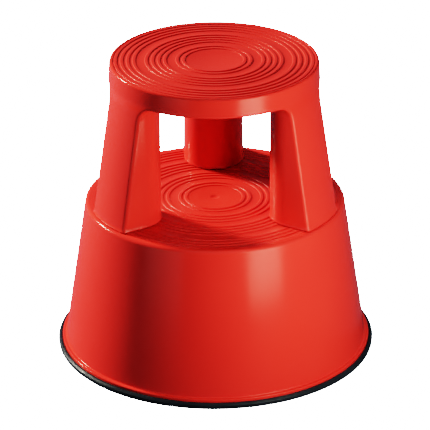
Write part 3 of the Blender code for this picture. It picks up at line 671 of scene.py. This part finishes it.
def half_apron(bm, top_row, half_width, plate_under):
    """Waist, rim, tread, lower edge and inner face, from the leg to the window's middle."""
    edge_angle = math.atan2(top_row[FACE_STEPS].y, top_row[FACE_STEPS].x)
    window = []
    for i in range(WINDOW_STEPS + 1):
        window.append(edge_angle + (math.pi / 3 - edge_angle) * i / WINDOW_STEPS)
    angles = [math.atan2(p.y, p.x) for p in top_row[:FACE_STEPS]] + window

    def ring(radius, z, turns=angles):
        return [Vector((radius * math.cos(a), radius * math.sin(a), z)) for a in turns]

    edge_z = APRON_BOTTOM + EDGE_ROUND
    outer = [ring(outer_radius(edge_z), edge_z)]
    outer[0][: FACE_STEPS + 1] = top_row[: FACE_STEPS + 1]
    for i in range(1, 5):
        z = edge_z + (WAIST_TOP - edge_z) * i / 4
        outer.append(ring(outer_radius(z), z))
    rim_z = TOTAL_HEIGHT - TOP_RIM_ROUND
    rim_radius = outer_radius(rim_z)
    for i in range(7):
        turn = math.pi / 2 * i / 6
        radius = rim_radius - TOP_RIM_ROUND * (1 - math.cos(turn))
        outer.append(ring(radius, rim_z + TOP_RIM_ROUND * math.sin(turn)))
    tread = ringed_tread(TOP_RINGS, TOTAL_HEIGHT, TOP_BAND_INSIDE)
    tread.append((0.0, TOTAL_HEIGHT - RING_HEIGHT))
    outer += [ring(radius, z) for radius, z in tread]
    add_grid(bm, outer)

    lower = []
    for i in range(EDGE_STEPS + 1):
        turn = math.pi / 2 * i / EDGE_STEPS
        z = APRON_BOTTOM + EDGE_ROUND * (1 - math.sin(turn))
        row = ring(outer_radius(z) - EDGE_ROUND * (1 - math.cos(turn)), z, window)
        row[0] = top_row[FACE_STEPS + i]
        lower.append(row)
    add_grid(bm, lower)

    above = surface_point(top_row[FACE_STEPS + EDGE_STEPS].y, plate_under, WALL)
    upper_row = ring(outer_radius(plate_under) - WALL, plate_under, window)
    upper_row[0] = above
    add_grid(bm, [lower[-1], upper_row])
    wall_low = top_row[FACE_STEPS + EDGE_STEPS:]
    section = LegSection(plate_under, half_width)
    wall_high = [above] + section.side_wall(above, WALL_STEPS) + section.core_arc(0.0, CORE_STEPS)
    add_grid(bm, [wall_low, wall_high])


def half_leg(bm):
    """One sixth of the top step: from the middle of a leg to the middle of a window."""
    plate_under = TOTAL_HEIGHT - TREAD_THICKNESS
    edges = leg_edges()
    skin = leg_skin(edges)
    hollow = leg_hollow(edges, plate_under)
    add_grid(bm, skin)
    add_grid(bm, hollow)
    add_grid(bm, leg_foot(skin[0], hollow[0]))
    half_apron(bm, skin[-1], edges[-1][0], plate_under)


def screw_bosses(bm, azimuth):
    """Cross web inside a leg, and the two bosses that its screws bite into."""
    middle = polar(SCREW_CIRCLE, azimuth)
    reach = LEG_CORE_RADIUS - WALL / 2
    low = LEG_FOOT + 0.001
    web = [(-reach, low), (reach, low), (reach, WEB_TOP), (-reach, WEB_TOP)]
    prism(bm, web, RIB_THICKNESS, upright(azimuth + 90.0, middle))
    side = polar(SCREW_OFFSET, azimuth + 90.0)
    boss = [
        (BOSS_BORE, LEG_FOOT, 0.0),
        (BOSS_RADIUS, LEG_FOOT, 0.0005),
        (BOSS_RADIUS, BOSS_TOP, 0.0008),
        (BOSS_BORE, BOSS_TOP, 0.0),
    ]
    for sign in (-1.0, 1.0):
        revolve(bm, filleted(boss), 32, Matrix.Translation(middle + side * sign))


def make_top():
    bm = bmesh.new()
    half_leg(bm)
    bmesh.ops.remove_doubles(bm, verts=bm.verts, dist=2e-6)
    half = bm.verts[:] + bm.edges[:] + bm.faces[:]
    mirrored = bmesh.ops.duplicate(bm, geom=half)["geom"]
    verts = [item for item in mirrored if isinstance(item, bmesh.types.BMVert)]
    bmesh.ops.scale(bm, vec=(1.0, -1.0, 1.0), verts=verts)
    faces = [item for item in mirrored if isinstance(item, bmesh.types.BMFace)]
    bmesh.ops.reverse_faces(bm, faces=faces)
    leg = bm.verts[:] + bm.edges[:] + bm.faces[:]
    leg_verts = bm.verts[:]
    for azimuth in LEG_AZIMUTHS[1:]:
        copied = bmesh.ops.duplicate(bm, geom=leg)["geom"]
        verts = [item for item in copied if isinstance(item, bmesh.types.BMVert)]
        turn = Matrix.Rotation(math.radians(azimuth), 3, "Z")
        bmesh.ops.rotate(bm, cent=(0.0, 0.0, 0.0), matrix=turn, verts=verts)
    turn = Matrix.Rotation(math.radians(LEG_AZIMUTHS[0]), 3, "Z")
    bmesh.ops.rotate(bm, cent=(0.0, 0.0, 0.0), matrix=turn, verts=leg_verts)
    bmesh.ops.remove_doubles(bm, verts=bm.verts, dist=4e-6)
    open_edges = [edge for edge in bm.edges if edge.is_boundary]
    bmesh.ops.holes_fill(bm, edges=open_edges, sides=0)
    shell_faces = len(bm.faces)

    bottom = TOTAL_HEIGHT - TREAD_THICKNESS - TOP_RIB_DEPTH
    plate_middle = TOTAL_HEIGHT - TREAD_THICKNESS / 2
    ring_rib(bm, TOP_RING_RIB, bottom + 0.002, plate_middle)
    for azimuth in LEG_AZIMUTHS:
        leg_end = LEG_CORE_CENTRE - LEG_CORE_RADIUS + WALL / 2
        rib(bm, TOP_RING_RIB, leg_end, bottom, leg_end, plate_middle, azimuth)
        apron_end = outer_radius(bottom) - WALL / 2
        rib(bm, TOP_RING_RIB, apron_end, bottom, apron_end, plate_middle, azimuth + 60.0)
        screw_bosses(bm, azimuth)
    paint_tread(bm, shell_faces, TOTAL_HEIGHT, TOP_GRAIN_RADIUS)
    add_piece("top_moulding", bm, (SHELL, TREAD), "stool", ("top_step",))


# ---------------------------------------------------------------- screws

def make_screws():
    plate_under = STEP_HEIGHT - TREAD_THICKNESS
    washer_top = plate_under - GAP
    washer_low = washer_top - WASHER_THICKNESS
    head_top = washer_low - GAP
    number = 0
    for azimuth in LEG_AZIMUTHS:
        for sign in (-1.0, 1.0):
            number += 1
            place = polar(SCREW_CIRCLE, azimuth) + polar(SCREW_OFFSET, azimuth + 90.0) * sign
            at = Matrix.Translation(place)
            head = [
                (0.0, head_top - 0.0014, 0.0),
                (0.0013, head_top - 0.0016, 0.0002),
                (0.0017, head_top - 0.0031, 0.0002),
                (0.0035, head_top - 0.0030, 0.0010),
                (SCREW_HEAD_RADIUS, head_top - 0.0012, 0.0008),
                (SCREW_HEAD_RADIUS, head_top, 0.0002),
                (SCREW_SHANK_RADIUS, head_top, 0.0),
                (SCREW_SHANK_RADIUS, SCREW_TOP - 0.004, 0.0004),
                (0.0, SCREW_TOP, 0.0),
            ]
            bm = bmesh.new()
            revolve(bm, filleted(head, 3), 32, at)
            add_piece(f"screw_{number}", bm, (ZINC,), "stool", (f"leg_screw_{number}",))
            washer = [
                (SCREW_SHANK_RADIUS + GAP, washer_low, 0.0002),
                (WASHER_RADIUS, washer_low, 0.0003),
                (WASHER_RADIUS, washer_top, 0.0003),
                (SCREW_SHANK_RADIUS + GAP, washer_top, 0.0002),
            ]
            bm = bmesh.new()
            revolve(bm, filleted(washer, 3), 40, at)
            add_piece(f"washer_{number}", bm, (ZINC,), "stool", (f"leg_washer_{number}",))


# ---------------------------------------------------------------- castors

def make_spring(name, body, centre):
    """Round-wire compression spring with closed ends."""
    bm = bmesh.new()
    low = PLUNGER_FLANGE_TOP + GAP + SPRING_WIRE_RADIUS
    high = SPRING_SEAT - GAP - SPRING_WIRE_RADIUS
    per_turn, sides = 28, 10
    end_pitch = 2.2 * SPRING_WIRE_RADIUS
    free_turns = SPRING_TURNS - 2
    pitch = (high - low - 2 * end_pitch) / free_turns
    rings = []
    for step in range(SPRING_TURNS * per_turn + 1):
        turns = step / per_turn
        rise = min(turns, 1.0) * end_pitch
        rise += min(max(turns - 1.0, 0.0), free_turns) * pitch
        rise += max(turns - 1.0 - free_turns, 0.0) * end_pitch
        out = polar(1.0, 360.0 * turns)
        middle = centre + out * SPRING_MEAN_RADIUS + Vector((0.0, 0.0, low + rise))
        ring = []
        for side in range(sides):
            turn = 2 * math.pi * side / sides
            offset = out * math.cos(turn) + Vector((0.0, 0.0, math.sin(turn)))
            ring.append(bm.verts.new(middle + offset * SPRING_WIRE_RADIUS))
        rings.append(ring)
    for here, there in zip(rings, rings[1:]):
        for i in range(sides):
            j = (i + 1) % sides
            bm.faces.new((here[i], here[j], there[j], there[i]))
    bm.faces.new(rings[0])
    bm.faces.new(rings[-1])
    piece = add_piece(name + "coil", bm, (WIRE,), body, (name + "spring",), 50.0)
    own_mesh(piece)


def guide_profile():
    return [
        (PLUNGER_RADIUS + GAP, GUIDE_BOTTOM, 0.0006),
        (COLUMN_RADIUS, GUIDE_BOTTOM, 0.0012),
        (COLUMN_RADIUS, COLUMN_BOTTOM - GAP, 0.0004),
        (COLUMN_BORE - GAP, COLUMN_BOTTOM - GAP, 0.0),
        (COLUMN_BORE - GAP, GUIDE_TOP, 0.0006),
        (PLUNGER_RADIUS + GAP, GUIDE_TOP, 0.0006),
    ]


def plunger_profile():
    return [
        (STEM_RADIUS + GAP, PLUNGER_BOTTOM, 0.0004),
        (PLUNGER_RADIUS, PLUNGER_BOTTOM, 0.0010),
        (PLUNGER_RADIUS, GUIDE_TOP + GAP, 0.0),
        (PLUNGER_FLANGE_RADIUS, GUIDE_TOP + GAP, 0.0005),
        (PLUNGER_FLANGE_RADIUS, PLUNGER_FLANGE_TOP, 0.0008),
        (PLUNGER_SPIGOT_RADIUS, PLUNGER_FLANGE_TOP, 0.0005),
        (PLUNGER_SPIGOT_RADIUS, PLUNGER_SPIGOT_TOP, 0.0018),
        (0.0, PLUNGER_SPIGOT_TOP, 0.0),
        (0.0, PLUNGER_BORE_TOP, 0.0),
        (STEM_RADIUS + GAP, PLUNGER_BORE_TOP, 0.0),
    ]


def stem_profile():
    return [
        (0.0, STEM_HEAD_BOTTOM, 0.0),
        (STEM_HEAD_RADIUS, STEM_HEAD_BOTTOM, 0.0006),
        (STEM_HEAD_RADIUS, STEM_HEAD_TOP, 0.0003),
        (STEM_RADIUS, STEM_HEAD_TOP, 0.0),
        (STEM_RADIUS, STEM_TOP, 0.0010),
        (0.0, STEM_TOP, 0.0),
    ]


def both_sides(profile):
    """The half profile on the axle's -Z side, then its mirror image."""
    return profile + [(radius, -z, fillet) for radius, z, fillet in profile[::-1]]


def axle_profile():
    inner = FORK_HALF_WIDTH + GAP
    outer = inner + AXLE_HEAD_THICKNESS
    return both_sides([
        (0.0, -outer, 0.0),
        (AXLE_HEAD_RADIUS, -outer, 0.0009),
        (AXLE_HEAD_RADIUS, -inner, 0.0),
        (AXLE_RADIUS, -inner, 0.0),
    ])


def hub_profile():
    return both_sides([
        (AXLE_RADIUS + GAP, -HUB_HALF_WIDTH, 0.0003),
        (0.0055, -HUB_HALF_WIDTH, 0.0005),
        (0.0060, -0.0050, 0.0006),
        (HUB_RADIUS - 0.0022, -0.0046, 0.0008),
        (HUB_RADIUS - 0.0018, -0.0078, 0.0003),
        (HUB_RADIUS, -0.0078, 0.0004),
    ])


def tyre_profile():
    return both_sides([
        (HUB_RADIUS + GAP, -TYRE_HALF_WIDTH, 0.0003),
        (WHEEL_RADIUS - 0.0010, -TYRE_HALF_WIDTH, 0.0016),
        (WHEEL_RADIUS, -0.0050, 0.0030),
    ])


def make_hub(name, wheel, axle):
    bm = bmesh.new()
    revolve(bm, filleted(hub_profile(), 3), 72, axle)
    outline = [(0.0052, -0.0068), (0.0115, -0.0068), (0.0115, 0.0068), (0.0052, 0.0068)]
    for spoke in range(6):
        turn = axle @ Matrix.Rotation(math.radians(60.0 * spoke), 4, "Z")
        flat = turn @ Matrix.Rotation(math.radians(90.0), 4, "X")
        prism(bm, outline, 0.0013, flat)
    add_piece(name + "hub_look", bm, (NYLON,), wheel, (name + "hub",))


def make_fork(name, swivel):
    """The solid fork with its edges softened."""
    fork = bpy.data.objects.new(name + "fork_look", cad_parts[name + "fork"].data.copy())
    bpy.context.scene.collection.objects.link(fork)
    fork.data.materials.clear()
    fork.data.materials.append(ZINC)
    bevel = fork.modifiers.new("soft_edges", "BEVEL")
    bevel.width = 0.0005
    bevel.segments = 3
    bevel.limit_method = "ANGLE"
    bevel.angle_limit = math.radians(50.0)
    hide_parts(name + "fork")
    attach(fork, swivel)


def make_castor(number, azimuth):
    name = f"castor_{number}_"
    centre = polar(CASTOR_CIRCLE, azimuth)
    stand = Matrix.Translation(centre)
    axle = upright(azimuth + 90.0, centre) @ Matrix.Translation((WHEEL_TRAIL, WHEEL_RADIUS, 0.0))
    slider, swivel, wheel = name + "slider", name + "swivel", name + "wheel"

    def turned(part, profile, segments, place, mat, body):
        bm = bmesh.new()
        revolve(bm, filleted(profile), segments, place)
        add_piece(name + part + "_look", bm, (mat,), body, (name + part,))

    turned("guide", guide_profile(), 64, stand, ACETAL, "stool")
    turned("plunger", plunger_profile(), 64, stand, NYLON, slider)
    make_spring(name, "stool", centre)
    turned("stem", stem_profile(), 48, stand, ZINC, swivel)
    turned("axle", axle_profile(), 40, axle, ZINC, swivel)
    make_hub(name, wheel, axle)
    turned("tyre", tyre_profile(), 96, axle, TYRE, wheel)
    make_fork(name, swivel)


# ---------------------------------------------------------------- stage and camera

FLOOR_SIZE = 60.0
FLOOR_DROP = 0.0005
FLOOR_GLOW = 24.0


def studio_floor():
    """Wide pale floor: glowing white to the camera, dim to bounced light and reflections."""
    bpy.ops.mesh.primitive_plane_add(size=FLOOR_SIZE, location=(0.0, 0.0, -FLOOR_DROP))
    floor = bpy.context.object
    floor.name = "floor"
    mat = bpy.data.materials.new("pale_floor")
    mat.use_nodes = True
    tree = mat.node_tree
    nodes = tree.nodes
    nodes.remove(nodes["Principled BSDF"])
    output = nodes["Material Output"]
    pale = nodes.new("ShaderNodeBsdfDiffuse")
    pale.inputs["Color"].default_value = (0.80, 0.80, 0.80, 1.0)
    dim = nodes.new("ShaderNodeBsdfDiffuse")
    dim.inputs["Color"].default_value = (0.040, 0.048, 0.075, 1.0)
    glow = nodes.new("ShaderNodeEmission")
    glow.inputs["Strength"].default_value = FLOOR_GLOW
    lifted = nodes.new("ShaderNodeAddShader")
    mix = nodes.new("ShaderNodeMixShader")
    path = nodes.new("ShaderNodeLightPath")
    tree.links.new(pale.outputs[0], lifted.inputs[0])
    tree.links.new(glow.outputs[0], lifted.inputs[1])
    tree.links.new(path.outputs["Is Camera Ray"], mix.inputs[0])
    tree.links.new(dim.outputs[0], mix.inputs[1])
    tree.links.new(lifted.outputs[0], mix.inputs[2])
    tree.links.new(mix.outputs[0], output.inputs["Surface"])
    floor.data.materials.append(mat)


def area_light(name, azimuth, elevation, distance, aim_height, size, power, colour, mirrored=True):
    """Rectangular light aimed at the stool's axis; one that isn't mirrored has no reflection."""
    data = bpy.data.lights.new(name, "AREA")
    data.shape = "RECTANGLE"
    data.size, data.size_y = size
    data.energy = power
    data.color = colour
    light = bpy.data.objects.new(name, data)
    bpy.context.scene.collection.objects.link(light)
    rise = math.radians(elevation)
    out = polar(math.cos(rise), azimuth) + Vector((0.0, 0.0, math.sin(rise)))
    light.location = Vector((0.0, 0.0, aim_height)) + out * distance
    light.rotation_euler = out.to_track_quat("Z", "Y").to_euler()
    light.visible_glossy = mirrored


def studio_light():
    """Key from the back left, softbox and fill near the front right, weak fills elsewhere."""
    world = bpy.data.worlds.new("studio")
    bpy.context.scene.world = world
    world.use_nodes = True
    background = world.node_tree.nodes["Background"]
    background.inputs["Color"].default_value = (0.50, 0.74, 1.0, 1.0)
    background.inputs["Strength"].default_value = 0.105
    warm = (1.0, 0.97, 0.80)
    cool = (0.9, 0.95, 1.0)
    neutral = (1.0, 0.97, 0.97)
    area_light("key", 143.0, 22.0, 5.0, 0.25, (0.6, 0.6), 1030.0, warm, mirrored=False)
    area_light("key_glint", 153.0, 22.0, 4.98, 0.25, (0.6, 0.6), 110.0, warm)
    area_light("softbox", -56.0, 0.0, 0.55, 0.33, (0.24, 0.42), 0.50, warm)
    area_light("front", -53.0, 0.0, 0.62, 0.34, (0.26, 0.38), 5.6, warm, mirrored=False)
    area_light("left_fill", -132.0, 6.0, 1.6, 0.2, (0.9, 0.9), 1.0, cool)
    area_light("rear_fill", 55.0, 12.0, 3.0, 0.2, (1.4, 1.4), 30.0, warm, mirrored=False)
    area_light("overhead", -90.0, 75.0, 2.4, 0.2, (1.6, 1.6), 2.6, neutral)


CAMERA_AZIMUTH = -0.6
CAMERA_DISTANCE = 3.9976
CAMERA_HEIGHT = 2.0351
CAMERA_PITCH = 24.71
CAMERA_ROLL = -0.31
CAMERA_LENS = 262.47


def add_camera():
    data = bpy.data.cameras.new("camera")
    data.sensor_width = 36.0
    data.lens = CAMERA_LENS
    data.clip_end = 80.0
    camera = bpy.data.objects.new("camera", data)
    bpy.context.scene.collection.objects.link(camera)
    turn, pitch = math.radians(CAMERA_AZIMUTH), math.radians(CAMERA_PITCH)
    place = Vector((math.sin(turn) * CAMERA_DISTANCE, -math.cos(turn) * CAMERA_DISTANCE, CAMERA_HEIGHT))
    level = Vector((-math.sin(turn), math.cos(turn), 0.0))
    forward = level * math.cos(pitch) - Vector((0.0, 0.0, math.sin(pitch)))
    right = forward.cross(Vector((0.0, 0.0, 1.0))).normalized()
    up = right.cross(forward)
    aim = Matrix((right, up, -forward)).transposed().to_4x4()
    roll = Matrix.Rotation(math.radians(CAMERA_ROLL), 4, "Z")
    camera.matrix_world = Matrix.Translation(place) @ aim @ roll
    bpy.context.scene.camera = camera


make_base()
make_bumper()
make_top()
make_screws()
for index, castor_azimuth in enumerate(CASTOR_AZIMUTHS, 1):
    make_castor(index, castor_azimuth)
studio_floor()
studio_light()
add_camera()
bpy.context.scene.view_settings.view_transform = "Filmic"
bpy.context.scene.view_settings.look = "Very High Contrast"

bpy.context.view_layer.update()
